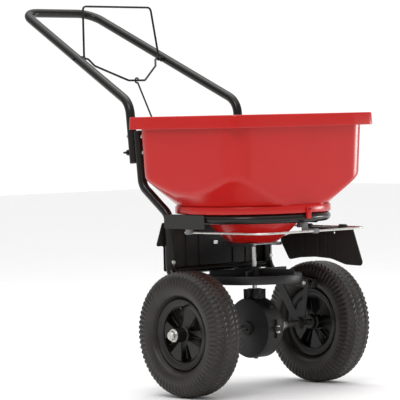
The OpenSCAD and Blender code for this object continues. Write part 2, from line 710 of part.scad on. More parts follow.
home() hopper();
home() handle();
home() left_frame_tube();
home() right_frame_tube();
home() loop_tube();
home() left_side_bracket();
home() right_side_bracket();
home() rear_shield();
home() rear_cross_tube();
home() stand_leg();
home() stand_feet();
home() left_axle_plate();
home() right_axle_plate();
home() axle_bushings();
home() gearbox_upper();
home() gearbox_lower();
home() gearbox_bolts();
home() gearbox_bushings();
home() handle_bolts();
home() handle_knobs();
home() frame_bolts();
home() tube_plugs();
home() guard_rod();
home() guard_clips();
home() shaft_bushing();
home() gate_guides();
home() lever_bracket();
home() bail_bushings();
home() axle();
home() crown_gear();
home() axle_collars();
home() hub_washers();
home() axle_nuts();
home() drive_pin();
home() left_tyre();
home() left_inner_tube();
home() left_rim_outer();
home() left_rim_inner();
home() right_tyre();
home() right_inner_tube();
home() right_rim_outer();
home() right_rim_inner();
home() spinner();
home() spinner_shaft();
home() pinion();
home() agitator();
home() bail();
home() crank_wire();
home() control_rod();
home() gate_lever();
home() gate_plate();
home() deflector();
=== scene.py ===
"""Looks of the push broadcast spreader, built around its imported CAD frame.

Shapes are drawn in millimetres with the axle at Y = 0 and the ground at Z = 0, as in the
CAD source, and make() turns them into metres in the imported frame. A shape is a pair
(vertices, faces).
"""
import json
import math

import bpy
from mathutils import Matrix, Vector


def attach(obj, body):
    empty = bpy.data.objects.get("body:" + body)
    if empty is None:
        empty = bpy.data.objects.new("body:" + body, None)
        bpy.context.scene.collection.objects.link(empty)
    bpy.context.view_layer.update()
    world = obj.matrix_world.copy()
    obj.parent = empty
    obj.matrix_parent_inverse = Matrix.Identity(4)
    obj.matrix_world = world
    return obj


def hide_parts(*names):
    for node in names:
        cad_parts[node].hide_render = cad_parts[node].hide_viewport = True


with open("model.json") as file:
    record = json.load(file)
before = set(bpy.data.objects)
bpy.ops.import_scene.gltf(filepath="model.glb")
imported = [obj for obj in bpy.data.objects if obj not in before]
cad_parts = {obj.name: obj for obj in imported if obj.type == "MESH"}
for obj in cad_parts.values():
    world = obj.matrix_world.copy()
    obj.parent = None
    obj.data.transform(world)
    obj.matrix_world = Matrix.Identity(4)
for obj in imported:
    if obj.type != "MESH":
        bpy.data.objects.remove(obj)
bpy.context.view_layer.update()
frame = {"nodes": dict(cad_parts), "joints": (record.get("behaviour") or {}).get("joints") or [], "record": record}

MM = 0.001
JOINTS = {j["name"]: j for j in frame["joints"]}
AXLE_Y = JOINTS["axle_spin"]["pos_m"][1]
AXLE_Z = JOINTS["axle_spin"]["pos_m"][2] / MM

# ---- sizes, as in the CAD source -------------------------------------------------------

WHEEL_R = 165
WHEEL_X = 238.5
TYRE_W = 88
RIM_R = 94
RIM_W, RIM_L, RIM_Z = 520, 424, 732
SKIRT_H = 33
WALL = 4
TUBE_R = 12.5
ARM_X, GRIP_X = 198, 125
GRIP_Y, GRIP_Z = 800, 1036
AXLE_R = 8
SHAFT_R = 6.35
SPINNER_R = 127
SPINNER_Z = 300
WIRE_R = 3
POST_X, POST_Y = 180, 134
LOOP_Z, LOOP_R = 461, 194
RING_R = 207
RING_Z = 473.8
RING_H = 20
FLOOR_Z = 392
ROD_X, ROD_FRONT_Y, ROD_Z = 200, -235, 427
LEAN = 0.095
FOOT = Vector((ARM_X, 248, 612))
ARM_BEND = Vector((ARM_X, 263, 770))
SLOPE = (GRIP_Z - ARM_BEND.z) / (GRIP_Y - ARM_BEND.y)
BAIL_Y = 518
BAIL_Z = ARM_BEND.z + SLOPE * (BAIL_Y - ARM_BEND.y)
BAIL_X = ARM_X - (ARM_X - GRIP_X) * (BAIL_Y - ARM_BEND.y) / (GRIP_Y - ARM_BEND.y)
BAIL_H = 146
HOOK = Vector((0, BAIL_Y - 61, BAIL_Z - 62))
LEVER = Vector((0, 168, 434))
LEVER_ARM = 60
KNOB_Z, UPPER_BOLT_Z = 637, 680
PLATE_X = POST_X - TUBE_R - 3.7
PLATE_BOLTS = [(-25, 275.1), (85, 292.4)]
BRACKET_Z = 441.5
HUB_OUT, HUB_IN, HUB_R = 55, 36, 19
DRUM_R, DRUM_HALF = 80, 28
FLANGE_Y = DRUM_R + 12

# ---- sizes of the visible shapes -------------------------------------------------------

# Hopper wall under the rim and at the ring: half width, half length and corner radius.
WALL_TOP = (247, 199, 56)
WALL_LOW = (238, 190, 58)
RIM_CUT, RIM_BEND = 84, 5
RIM_FACE_R, RIM_CORNER_R = 60, 12
FUNNEL_SLOPE = 0.85
WALL_STEPS = 46
WALL_CROWDING = 1.15
PORT_R, PORT_CIRCLE_R = 9, 34
FLOOR_R, FLOOR_BORE_R = 55, 10.2

# Frame tubes, stand and guard.
POST_TOP_Z = 694
STAND_Y = 236
CROSS_TUBE_Z = 322
GUARD_BOLT_Z = 345
RAIL_FRONT = (POST_X, -45, 272)

# Tyre section and tread. Widths across the tread are fractions of the half width.
SECTION_POINTS = 74
SECTION_SPAN = math.radians(278.48)
SECTION_POWER = 2 / 3.4
TREAD_PITCHES = 72
TREAD_STEPS = 8
RIB_HEIGHTS = (0.0, 0.7, 1.0, 1.0, 1.0, 0.7, 0.0, 0.0)
TREAD_DROP, SHOULDER_DROP = 2.6, 3.4
ROW_WIDTH = 0.30
BLOCK_LEAN = 0.055

# Heading of the camera, which the studio's bright side follows.
HEADING = math.radians(-43.77)


def upright_y(z):
    """Y of the handle's upright at height z."""
    return FOOT.y + LEAN * (z - FOOT.z)


# ---- shapes ----------------------------------------------------------------------------

def merged(*shapes):
    verts, faces = [], []
    for v, f in shapes:
        base = len(verts)
        verts += v
        faces += [tuple(i + base for i in face) for face in f]
    return verts, faces


def moved(shape, matrix):
    return [matrix @ v for v in shape[0]], shape[1]


def shifted(shape, x=0, y=0, z=0):
    return moved(shape, Matrix.Translation((x, y, z)))


def mirrored(shape):
    """The shape reflected in X, with its faces turned back outwards."""
    return [Vector((-v.x, v.y, v.z)) for v in shape[0]], [tuple(reversed(f)) for f in shape[1]]


def pair(shape):
    return merged(shape, mirrored(shape))


def turn_to(axis, origin=(0, 0, 0)):
    """Matrix that takes +Z to the axis and the origin to the given point."""
    q = Vector((0, 0, 1)).rotation_difference(Vector(axis).normalized())
    return Matrix.Translation(origin) @ q.to_matrix().to_4x4()


ALONG_X = Matrix(((0, 0, 1, 0), (1, 0, 0, 0), (0, 1, 0, 0), (0, 0, 0, 1)))   # (u, v, w) = (Y, Z, X)
ALONG_Y = Matrix(((-1, 0, 0, 0), (0, 0, 1, 0), (0, 1, 0, 0), (0, 0, 0, 1)))  # (u, v, w) = (-X, Z, Y)


def arc(centre, radius, start, end, steps):
    """Points on a flat arc, with angles in degrees."""
    out = []
    for i in range(steps + 1):
        a = math.radians(start + (end - start) * i / steps)
        out.append((centre[0] + radius * math.cos(a), centre[1] + radius * math.sin(a)))
    return out


def filleted(points, bends, step=7.5, closed=False):
    """The path with a round bend at each corner. bends is one radius or one per point."""
    points = [Vector(p).to_3d() if len(p) < 3 else Vector(p) for p in points]
    count = len(points)
    if not hasattr(bends, "__len__"):
        bends = [bends] * count
    out = []
    for i, p in enumerate(points):
        if not closed and i in (0, count - 1) or bends[i] <= 0:
            out.append(p)
            continue
        d1 = (p - points[i - 1]).normalized()
        d2 = (points[(i + 1) % count] - p).normalized()
        angle = d1.angle(d2)
        if angle < 1e-4:
            out.append(p)
            continue
        trim = bends[i] * math.tan(angle / 2)
        normal = d1.cross(d2).normalized()
        side = normal.cross(d1)
        centre = p - d1 * trim + side * bends[i]
        steps = max(2, math.ceil(math.degrees(angle) / step))
        for k in range(steps + 1):
            out.append(centre + Matrix.Rotation(angle * k / steps, 3, normal) @ (-side * bends[i]))
    return out


def sweep(path, r, sides=24, closed=False, cap=0.6):
    """Round bar along a path, with softened ends."""
    n = len(path)
    if closed:
        tangents = [(path[(i + 1) % n] - path[i - 1]).normalized() for i in range(n)]
    else:
        tangents = [(path[min(i + 1, n - 1)] - path[max(i - 1, 0)]).normalized() for i in range(n)]
    normal = tangents[0].orthogonal().normalized()
    rings = []
    for i in range(n):
        if i:
            normal = tangents[i - 1].rotation_difference(tangents[i]) @ normal
        rings.append((path[i], tangents[i], normal, r))
    if not closed:
        c = min(cap, r / 2)
        p, t, u, _ = rings[0]
        rings[0] = (p + t * c, t, u, r)
        rings.insert(0, (p, t, u, r - c))
        p, t, u, _ = rings[-1]
        rings[-1] = (p - t * c, t, u, r)
        rings.append((p, t, u, r - c))
    verts, faces = [], []
    for p, t, u, radius in rings:
        w = t.cross(u)
        for k in range(sides):
            a = 2 * math.pi * k / sides
            verts.append(p + (u * math.cos(a) + w * math.sin(a)) * radius)
    m = len(rings)
    for i in range(m if closed else m - 1):
        for k in range(sides):
            a, b = i * sides, (i + 1) % m * sides
            faces.append((a + k, a + (k + 1) % sides, b + (k + 1) % sides, b + k))
    if not closed:
        faces.append(tuple(reversed(range(sides))))
        faces.append(tuple(range((m - 1) * sides, m * sides)))
    return verts, faces


def lathe(profile, segments=48, closed=False):
    """Profile of (radius, height) turned about +Z. It runs with the solid on its left."""
    verts, faces = [], []
    for r, h in profile:
        for k in range(segments):
            a = 2 * math.pi * k / segments
            verts.append(Vector((r * math.cos(a), r * math.sin(a), h)))
    m = len(profile)
    for i in range(m if closed else m - 1):
        for k in range(segments):
            a, b = i * segments, (i + 1) % m * segments
            faces.append((a + k, a + (k + 1) % segments, b + (k + 1) % segments, b + k))
    if not closed:
        faces.append(tuple(reversed(range(segments))))
        faces.append(tuple(range((m - 1) * segments, m * segments)))
    return verts, faces


def rod(r, h0, h1, bevel=0.5, segments=32):
    """Round bar along +Z with softened edges."""
    return lathe([(r - bevel, h0), (r, h0 + bevel), (r, h1 - bevel), (r - bevel, h1)], segments)


def ring(r0, r1, h0, h1, bevel=0.5, segments=48):
    """Washer about +Z from radius r0 to r1."""
    b = bevel
    return lathe([(r0, h0 + b), (r0 + b, h0), (r1 - b, h0), (r1, h0 + b), (r1, h1 - b), (r1 - b, h1),
                  (r0 + b, h1), (r0, h1 - b)], segments, closed=True)


def plate(outline, thickness, holes=(), bevel=0.6):
    """Flat plate between w = 0 and w = thickness from an outline in (u, v), with softened edges."""
    curve = bpy.data.curves.new("outline", "CURVE")
    curve.dimensions = "2D"
    curve.fill_mode = "BOTH"
    curve.extrude = thickness / 2 - bevel
    curve.bevel_depth = bevel
    curve.bevel_resolution = 1
    curve.offset = -bevel
    for loop in [outline, *holes]:
        spline = curve.splines.new("POLY")
        spline.points.add(len(loop) - 1)
        for point, p in zip(spline.points, loop):
            point.co = (p[0], p[1], 0, 1)
        spline.use_cyclic_u = True
    holder = bpy.data.objects.new("outline", curve)
    bpy.context.scene.collection.objects.link(holder)
    mesh = bpy.data.meshes.new_from_object(holder.evaluated_get(bpy.context.evaluated_depsgraph_get()))
    verts = [v.co + Vector((0, 0, thickness / 2)) for v in mesh.vertices]
    faces = [tuple(p.vertices) for p in mesh.polygons]
    bpy.data.objects.remove(holder)
    bpy.data.curves.remove(curve)
    bpy.data.meshes.remove(mesh)
    return verts, faces


def rounded(points, radius):
    return [(p.x, p.y) for p in filleted(points, radius, step=15, closed=True)]


def circle(centre, r, steps=24):
    return arc(centre, r, 0, 360 - 360 / steps, steps - 1)


def block(size, centre, corner=1.0, bevel=0.8):
    """Box with softened edges and rounded uprights."""
    x, y, z = (s / 2 for s in size)
    shape = plate(rounded([(-x, -y), (x, -y), (x, y), (-x, y)], corner), size[2], bevel=bevel)
    return shifted(shape, centre[0], centre[1], centre[2] - z)


def hex_head(across, height, washer=0.0):
    """Hexagon bolt head or nut about +Z from Z = 0, crowned at the top."""
    crown = rod(across * 0.8, height - 0.4, height + 0.35, 0.3)
    parts = [plate(circle((0, 0), across, 6), height, bevel=0.7), crown]
    if washer:
        parts.append(rod(washer, 0, 1.2, 0.4))
    return merged(*parts)


def bolt(length, r=3, head=6, nut=True):
    """Bolt along +Z with its head's underside at Z = 0, as in the CAD."""
    flip = Matrix.Rotation(math.pi, 4, "X")
    tail = 6 if nut else 0
    parts = [moved(hex_head(head, 3.4, head * 0.98), flip), rod(r, -0.05, length + tail, 0.5, 20)]
    if nut:
        parts.append(shifted(hex_head(head, 4.4, head * 0.98), z=length))
    return merged(*parts)


# ---- materials -------------------------------------------------------------------------

def material(name, colour, roughness, metallic=0.0, mottle=0.08, mottle_scale=6.0, grain=0.05,
             grain_scale=900.0, spread=0.08, coat=0.0, streak=None, dust=None):
    """Procedural surface: colour variation, roughness variation and a fine bump.

    streak stretches the grain along an axis, as brushing does. dust is a second colour, which
    gathers in broad patches, and its strength."""
    mat = bpy.data.materials.new(name)
    mat.use_nodes = True
    nodes, links = mat.node_tree.nodes, mat.node_tree.links
    shader = nodes["Principled BSDF"]
    shader.inputs["Metallic"].default_value = metallic
    shader.inputs["Coat Weight"].default_value = coat
    shader.inputs["Coat Roughness"].default_value = 0.12
    shader.inputs["Specular IOR Level"].default_value = 0.5 if metallic else 0.35
    coords = nodes.new("ShaderNodeTexCoord")
    broad = nodes.new("ShaderNodeTexNoise")
    broad.inputs["Scale"].default_value = mottle_scale
    broad.inputs["Detail"].default_value = 5.0
    links.new(coords.outputs["Object"], broad.inputs["Vector"])
    ramp = nodes.new("ShaderNodeValToRGB")
    ramp.color_ramp.elements[0].position = 0.3
    ramp.color_ramp.elements[1].position = 0.72
    ramp.color_ramp.elements[0].color = [c * (1 - mottle) for c in colour] + [1]
    ramp.color_ramp.elements[1].color = [min(1, c * (1 + mottle)) for c in colour] + [1]
    links.new(broad.outputs["Fac"], ramp.inputs["Fac"])
    top = ramp.outputs["Color"]
    if dust:
        patches = nodes.new("ShaderNodeTexNoise")
        patches.inputs["Scale"].default_value = 22.0
        patches.inputs["Detail"].default_value = 8.0
        links.new(coords.outputs["Object"], patches.inputs["Vector"])
        mask = nodes.new("ShaderNodeMapRange")
        mask.inputs["From Min"].default_value = 0.5
        mask.inputs["From Max"].default_value = 0.78
        mask.inputs["To Max"].default_value = dust[1]
        links.new(patches.outputs["Fac"], mask.inputs["Value"])
        mix = nodes.new("ShaderNodeMix")
        mix.data_type = "RGBA"
        mix.inputs["B"].default_value = [*dust[0], 1]
        links.new(mask.outputs["Result"], mix.inputs["Factor"])
        links.new(top, mix.inputs["A"])
        top = mix.outputs["Result"]
    links.new(top, shader.inputs["Base Color"])
    rough = nodes.new("ShaderNodeMapRange")
    rough.inputs["To Min"].default_value = max(0.02, roughness - spread)
    rough.inputs["To Max"].default_value = min(1.0, roughness + spread)
    links.new(broad.outputs["Fac"], rough.inputs["Value"])
    links.new(rough.outputs["Result"], shader.inputs["Roughness"])
    fine = nodes.new("ShaderNodeTexNoise")
    fine.inputs["Scale"].default_value = grain_scale
    fine.inputs["Detail"].default_value = 2.0
    if streak:
        mapping = nodes.new("ShaderNodeMapping")
        mapping.inputs["Scale"].default_value = streak
        links.new(coords.outputs["Object"], mapping.inputs["Vector"])
        links.new(mapping.outputs["Vector"], fine.inputs["Vector"])
    else:
        links.new(coords.outputs["Object"], fine.inputs["Vector"])
    bump = nodes.new("ShaderNodeBump")
    bump.inputs["Strength"].default_value = grain
    bump.inputs["Distance"].default_value = 0.0004
    links.new(fine.outputs["Fac"], bump.inputs["Height"])
    links.new(bump.outputs["Normal"], shader.inputs["Normal"])
    return mat


MATERIALS = {
    "hopper_red": material("hopper_red", (0.50, 0.012, 0.010), 0.24, mottle=0.03, grain_scale=300,
                           spread=0.02),
    "frame_black": material("frame_black", (0.009, 0.008, 0.007), 0.24, mottle=0.12, grain=0.06),
    "sheet_black": material("sheet_black", (0.016, 0.015, 0.014), 0.42, mottle=0.12, grain=0.4,
                            grain_scale=1200, coat=0.1),
    "guard_black": material("guard_black", (0.016, 0.015, 0.014), 0.48, mottle=0.1, grain=0.6,
                            grain_scale=800),
    "plastic_black": material("plastic_black", (0.013, 0.012, 0.012), 0.44, mottle=0.1, grain=0.5),
    "bearing_nylon": material("bearing_nylon", (0.62, 0.59, 0.52), 0.5, grain=0.2),
    "clip_white": material("clip_white", (0.17, 0.17, 0.18), 0.45, grain=0.2),
    "zinc": material("zinc", (0.62, 0.61, 0.58), 0.30, metallic=1.0, mottle=0.12, mottle_scale=60,
                     grain=0.3, spread=0.12),
    "shaft_steel": material("shaft_steel", (0.55, 0.54, 0.52), 0.28, metallic=1.0, mottle=0.1,
                            grain=0.5, streak=(0.05, 1.0, 1.0)),
    "upright_steel": material("upright_steel", (0.55, 0.54, 0.52), 0.28, metallic=1.0, mottle=0.1,
                              grain=0.5, streak=(1.0, 1.0, 0.05)),
    "gear_metal": material("gear_metal", (0.20, 0.19, 0.18), 0.5, metallic=0.9, grain=0.5),
    "gate_steel": material("gate_steel", (0.50, 0.51, 0.52), 0.42, metallic=1.0, mottle=0.18,
                           mottle_scale=90, grain=0.3),
    "tyre": material("tyre", (0.020, 0.017, 0.014), 0.38, mottle=0.16, mottle_scale=14, grain=0.4,
                     grain_scale=700, dust=((0.055, 0.047, 0.038), 0.3)),
    "tube_rubber": material("tube_rubber", (0.02, 0.02, 0.02), 0.6),
    "rim_black": material("rim_black", (0.009, 0.008, 0.007), 0.34, mottle=0.12, grain=0.3,
                          dust=((0.025, 0.022, 0.018), 0.12)),
}


def make(name, shape, body, slot, *nodes, sharp=32, look=None):
    """One visible piece from a shape in millimetres."""
    mesh = bpy.data.meshes.new(name)
    mesh.from_pydata([(v.x * MM, v.y * MM + AXLE_Y, v.z * MM) for v in shape[0]], [], shape[1])
    mesh.validate()
    mesh.shade_smooth()
    mesh.set_sharp_from_angle(angle=math.radians(sharp))
    obj = bpy.data.objects.new(name, mesh)
    bpy.context.scene.collection.objects.link(obj)
    mesh.materials.append(MATERIALS[look or slot])
    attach(obj, body)
    if nodes:
        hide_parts(*nodes)
    return obj


# ---- hopper ----------------------------------------------------------------------------

ANGLES = [2 * math.pi * k / 288 for k in range(288)]


def polar(outline):
    """Distance from the centre to a closed outline at each of ANGLES."""
    out = []
    n = len(outline)
    for a in ANGLES:
        d = (math.cos(a), math.sin(a))
        best = 0.0
        for i in range(n):
            p, q = outline[i], outline[(i + 1) % n]
            e = (q[0] - p[0], q[1] - p[1])
            det = d[0] * e[1] - d[1] * e[0]
            if abs(det) < 1e-9:
                continue
            t = (p[0] * e[1] - p[1] * e[0]) / det
            s = (p[0] * d[1] - p[1] * d[0]) / det
            if t > 0 and -1e-6 <= s <= 1 + 1e-6:
                best = max(best, t)
        out.append(best)
    return out


def cut_outline(half_w, half_l, cut, k, round_face, round_corner):
    """Rectangle whose sides bend in by k towards each softened corner, over a length cut."""
    quarter = [(half_w, half_l - cut), (half_w - k, half_l - k), (half_w - cut, half_l)]
    bends = [round_face, round_corner, round_face]
    points, radii = [], []
    for sx, sy, order in ((1, 1, 1), (-1, 1, -1), (-1, -1, 1), (1, -1, -1)):
        for (x, y), b in list(zip(quarter, bends))[::order]:
            points.append((sx * x, sy * y))
            radii.append(b)
    return [(p.x, p.y) for p in filleted(points, radii, step=6, closed=True)]


def rounded_rectangle(half_w, half_l, radius):
    corners = [(half_w, -half_l, 0), (half_w, half_l, 0), (-half_w, half_l, 0), (-half_w, -half_l, 0)]
    return filleted(corners, radius, step=4, closed=True)


def soft_min(a, b, k):
    """Smaller of two distances, blended over k where they cross."""
    h = max(0.0, min(1.0, 0.5 + 0.5 * (b - a) / k))
    return b * (1 - h) + a * h - k * h * (1 - h)


def hopper():
    body_top = polar(rounded_rectangle(*WALL_TOP))
    body_low = polar(rounded_rectangle(*WALL_LOW))
    rim = polar(cut_outline(RIM_W / 2, RIM_L / 2, RIM_CUT, RIM_BEND, RIM_FACE_R, RIM_CORNER_R))
    skirt_z = RIM_Z - SKIRT_H
    low_z = RING_Z + RING_H

    def wall_ring(z, inset=0.0):
        """Drafted wall, cut below by the funnel."""
        f = (z - low_z) / (RIM_Z - low_z)
        cone = RING_R - 7 + (z - low_z) / FUNNEL_SLOPE
        return [soft_min(low + (top - low) * f, cone, 9) - inset for low, top in zip(body_low, body_top)]

    def round_ring(r):
        return [r] * len(ANGLES)

    def rim_ring(inset):
        return [r - inset for r in rim]

    bowl_outside = [(54, 392), (58, 392.5), (64, 395), (73, 401), (82, 408), (90, 415), (98, 422),
                    (105, 428.6), (111, 435), (118, 444), (126, 454), (134, 462), (144, 469),
                    (155, 472.6), (168, 473.7), (186, 473.8), (204.6, 473.8), (206.4, 474.6),
                    (207, 476.2), (207, 490.6), (206.2, 492.6), (204.4, 493.6), (201.4, 494.2)]
    bowl_inside = [(199, 491.2), (197.6, 485), (196.4, 479.6), (193, 477.8), (170, 477.7), (155, 476.6),
                   (142, 472.8), (131, 465), (123, 456.6), (115, 447), (108, 438.6), (102, 432),
                   (95, 425.4), (87, 418.4), (79, 411.4), (70, 404.6), (61, 398.8), (56, 396.6), (54, 396)]
    rings = [(z, round_ring(r)) for r, z in bowl_outside]
    for i in range(1, WALL_STEPS + 1):
        z = low_z + 0.6 + (skirt_z + 18 - low_z) * (i / WALL_STEPS) ** WALL_CROWDING
        rings.append((z, wall_ring(z)))
    under = RIM_Z - WALL
    rings += [
        (under - 3, wall_ring(under - 3)),
        (under - 0.8, wall_ring(under, -1.2)),
        (under, wall_ring(under, -4)),
        (under, rim_ring(WALL + 4)),
        (under - 1.2, rim_ring(WALL + 1)),
        (under - 4, rim_ring(WALL + 0.4)),
        (skirt_z + 0.6, rim_ring(WALL)),
        (skirt_z, rim_ring(WALL - 0.6)),
        (skirt_z, rim_ring(0.7)),
        (skirt_z + 0.7, rim_ring(0.0)),
        (skirt_z + 3.5, rim_ring(0.0)),
        (RIM_Z - 5, rim_ring(1.6)),
        (RIM_Z - 2.2, rim_ring(2.1)),
        (RIM_Z - 0.7, rim_ring(3.3)),
        (RIM_Z, rim_ring(5.2)),
        (RIM_Z, wall_ring(RIM_Z, WALL - 5)),
        (RIM_Z - 1.2, wall_ring(RIM_Z, WALL - 1.6)),
        (RIM_Z - 5, wall_ring(RIM_Z, WALL)),
    ]
    for i in range(WALL_STEPS, 0, -1):
        z = low_z + 2 + (RIM_Z - 12 - low_z) * (i / WALL_STEPS) ** WALL_CROWDING
        rings.append((z, wall_ring(z, WALL)))
    rings += [(z, round_ring(r)) for r, z in bowl_inside]

    verts, faces = [], []
    n = len(ANGLES)
    for z, radii in rings:
        for a, r in zip(ANGLES, radii):
            verts.append(Vector((r * math.cos(a), r * math.sin(a), z)))
    for i in range(len(rings) - 1):
        for k in range(n):
            faces.append((i * n + k, i * n + (k + 1) % n, (i + 1) * n + (k + 1) % n, (i + 1) * n + k))
    last = (len(rings) - 1) * n
    for k in range(n):
        faces.append((last + k, last + (k + 1) % n, (k + 1) % n, k))
    shell = (verts, faces)
    ports = []
    for a in (math.radians(90), math.radians(210), math.radians(330)):
        ports.append(circle((PORT_CIRCLE_R * math.cos(a), PORT_CIRCLE_R * math.sin(a)), PORT_R))
    floor = plate(circle((0, 0), FLOOR_R, 96), WALL, [circle((0, 0), FLOOR_BORE_R, 32), *ports], bevel=0.3)
    floor = shifted(floor, z=FLOOR_Z)
    tab = merged(block((14, 7, 27), (0, -RING_R - 2.5, 472)), block((17, 11, 7), (0, -RING_R - 0.5, 485)))
    make("hopper_shell", merged(shell, floor, tab), "chassis", "hopper_red", "hopper", sharp=38)


# ---- frame -----------------------------------------------------------------------------

POST = [(ARM_X, 216 + LEAN * (POST_TOP_Z - 548), POST_TOP_Z), (ARM_X, 216, 548), (POST_X, POST_Y, 470),
        (POST_X, POST_Y, 300), RAIL_FRONT]


def frame_tubes():
    arms = [(-ARM_X, FOOT.y, FOOT.z), (-ARM_X, ARM_BEND.y, ARM_BEND.z), (-GRIP_X, GRIP_Y, GRIP_Z),
            (GRIP_X, GRIP_Y, GRIP_Z), (ARM_X, ARM_BEND.y, ARM_BEND.z), (ARM_X, FOOT.y, FOOT.z)]
    make("handle_tube", sweep(filleted(arms, 55, 5), TUBE_R, 32), "chassis", "frame_black", "handle")
    post = sweep(filleted(POST, 45, 5), TUBE_R, 32)
    make("left_post", post, "chassis", "frame_black", "left_frame_tube")
    make("right_post", mirrored(post), "chassis", "frame_black", "right_frame_tube")
    bow = [Vector((LOOP_R * math.cos(a), LOOP_R * math.sin(a), LOOP_Z))
           for a in (-math.pi * k / 48 for k in range(49))]
    ends = Vector((0, 121.2, 0))
    bow = [bow[0] + ends] + bow + [bow[-1] + ends]
    make("hopper_loop", sweep(bow, TUBE_R, 32), "chassis", "frame_black", "loop_tube")
    inner = POST_X - TUBE_R - 0.3
    cross = sweep([Vector((-inner, POST_Y, CROSS_TUBE_Z)), Vector((inner, POST_Y, CROSS_TUBE_Z))], 10, 28)
    make("rear_cross_bar", cross, "chassis", "frame_black", "rear_cross_tube")
    foot = Vector((0, STAND_Y, 22))
    top = Vector((0, POST_Y + 6, 312))
    leg = sweep([top, foot], 10, 28)
    bar = sweep([Vector((-80, STAND_Y, 16)), Vector((80, STAND_Y, 16))], 10, 28)
    down = (foot - top).normalized()
    weld = sweep([top + down * 4, top + down * 6.5], 10.6, 28, cap=1.0)
    make("stand", merged(leg, bar, weld), "chassis", "frame_black", "stand_leg")
    pads = block((28, 28, 26), (68, STAND_Y, 13), corner=5, bevel=1.5)
    make("stand_pads", pair(pads), "chassis", "plastic_black", "stand_feet")


def plugs():
    plug = lathe([(10.6, -6), (10.6, 0.1), (12.4, 0.1), (12.5, 1.2), (12.0, 3.0), (10.2, 4.0), (6, 4.1)])
    rail = (Vector(RAIL_FRONT) - Vector((POST_X, POST_Y, 300))).normalized()
    front = moved(plug, turn_to(rail, RAIL_FRONT))
    down = -Vector((0, LEAN, 1)).normalized()
    low = moved(plug, turn_to(down, FOOT))
    top = moved(lathe([(9.0, -3), (9.0, 0.2), (11.6, 0.2), (11.0, 1.2), (7, 2.0)]),
                turn_to(-down, POST[0]))
    make("end_caps", pair(merged(front, low, top)), "chassis", "plastic_black", "tube_plugs")


def brackets():
    for side, name in ((1, "left"), (-1, "right")):
        outer = moved(plate(rounded([(-35, 436), (121, 436), (121, 473), (-35, 473)], 5), 3), ALONG_X)
        outer = shifted(outer, x=207)
        holes = [circle((-POST_X, BRACKET_Z), 3.2)]
        flange = plate(rounded([(-208, 436), (-168, 436), (-168, 448), (-208, 448)], 2), 3, holes)
        flange = moved(flange, ALONG_Y)
        shape = merged(outer, shifted(flange, y=118))
        make(f"{name}_loop_bracket", shape if side > 0 else mirrored(shape), "chassis", "sheet_black",
             f"{name}_side_bracket")
        hanger = [(-40, 270), (-36, 284), (98, 305), (98, 282), (20, 168), (12, 148), (-12, 148), (-20, 168)]
        window = rounded([(-22, 262), (62, 275), (12, 200), (-10, 200)], 4)
        holes = [window, circle((0, AXLE_Z), 11.1, 32)] + [circle(p, 3.2) for p in PLATE_BOLTS]
        shape = shifted(moved(plate(rounded(hanger, 5), 3.5, holes), ALONG_X), x=PLATE_X)
        make(f"{name}_hanger", shape if side > 0 else mirrored(shape), "chassis", "sheet_black",
             f"{name}_axle_plate")
    edge = [(-166, 460), (166, 460), (166, 450), (193, 450), (216, 388), (190, 388), (190, 320), (-190, 320),
            (-190, 388), (-216, 388), (-193, 450), (-166, 450)]
    slot_hole = rounded([(-8, 385.5), (8, 385.5), (8, 393.5), (-8, 393.5)], 2)
    holes = [slot_hole] + [circle((x, z), 3.2) for x in (-POST_X, POST_X) for z in (BRACKET_Z, GUARD_BOLT_Z)]
    shield_y = POST_Y + TUBE_R + 0.5
    back = shifted(moved(plate(rounded(edge, 5), 2, holes, bevel=0.5), ALONG_Y), y=shield_y)
    ribs = [block((3, 2.2, 96), (x, shield_y - 1.2, 380), bevel=0.5) for x in (-110, -62, 62, 110)]
    make("rear_guard", merged(back, *ribs), "chassis", "guard_black", "rear_shield")


def fasteners():
    parts = []
    back = Matrix.Rotation(-math.pi / 2, 4, "X")
    for z, length, nut in ((KNOB_Z, 62.5, False), (UPPER_BOLT_Z, 53.5, True)):
        parts.append(moved(bolt(length, nut=nut), Matrix.Translation((ARM_X, upright_y(z) - 39.5, z)) @ back))
    make("handle_screws", pair(merged(*parts)), "chassis", "zinc", "handle_bolts")
    wings = rounded([(-17, 0), (-9, -3.2), (9, -3.2), (17, 0), (9, 3.2), (-9, 3.2)], 1.6)
    knob = merged(lathe([(3.1, 0), (8.2, 0), (8.2, 8), (7.4, 9.4), (4, 9.8)], 32),
                  shifted(plate(wings, 13, bevel=1.4), z=0.8))
    place = Matrix.Translation((ARM_X, upright_y(KNOB_Z) + 14.5, KNOB_Z)) @ back
    make("wing_knobs", pair(moved(knob, place)), "chassis", "plastic_black", "handle_knobs")
    parts = []
    for y, z in PLATE_BOLTS:
        parts.append(moved(bolt(14, nut=False), turn_to((1, 0, 0), (PLATE_X - 0.3, y, z))))
    for y, z, length in ((117.7, BRACKET_Z, 31.6), (POST_Y - TUBE_R - 0.3, GUARD_BOLT_Z, 28.1)):
        parts.append(moved(bolt(length), Matrix.Translation((POST_X, y, z)) @ back))
    make("frame_screws", pair(merged(*parts)), "chassis", "zinc", "frame_bolts")


def guard():
    path = filleted([(-ROD_X, 50, ROD_Z), (-ROD_X, ROD_FRONT_Y, ROD_Z), (ROD_X, ROD_FRONT_Y, ROD_Z),
                     (ROD_X, 50, ROD_Z)], 45, 5)
    make("front_wire", sweep(path, WIRE_R, 20, cap=1.2), "chassis", "zinc", "guard_rod")
    arm = block((16, 50, 10), (0, ROD_FRONT_Y + 20, ROD_Z), corner=3)
    stem = block((16, 10, 21), (0, -LOOP_R, ROD_Z + 10.6), corner=2)
    lip = moved(ring(3.1, 6.4, -8.6, 8.6), turn_to((1, 0, 0), (0, ROD_FRONT_Y + 1.5, ROD_Z)))
    side = block((18, 14, 13.4), (205, 27, ROD_Z + 1.7), corner=2)
    make("wire_clips", merged(arm, stem, lip, pair(side)), "chassis", "clip_white", "guard_clips")


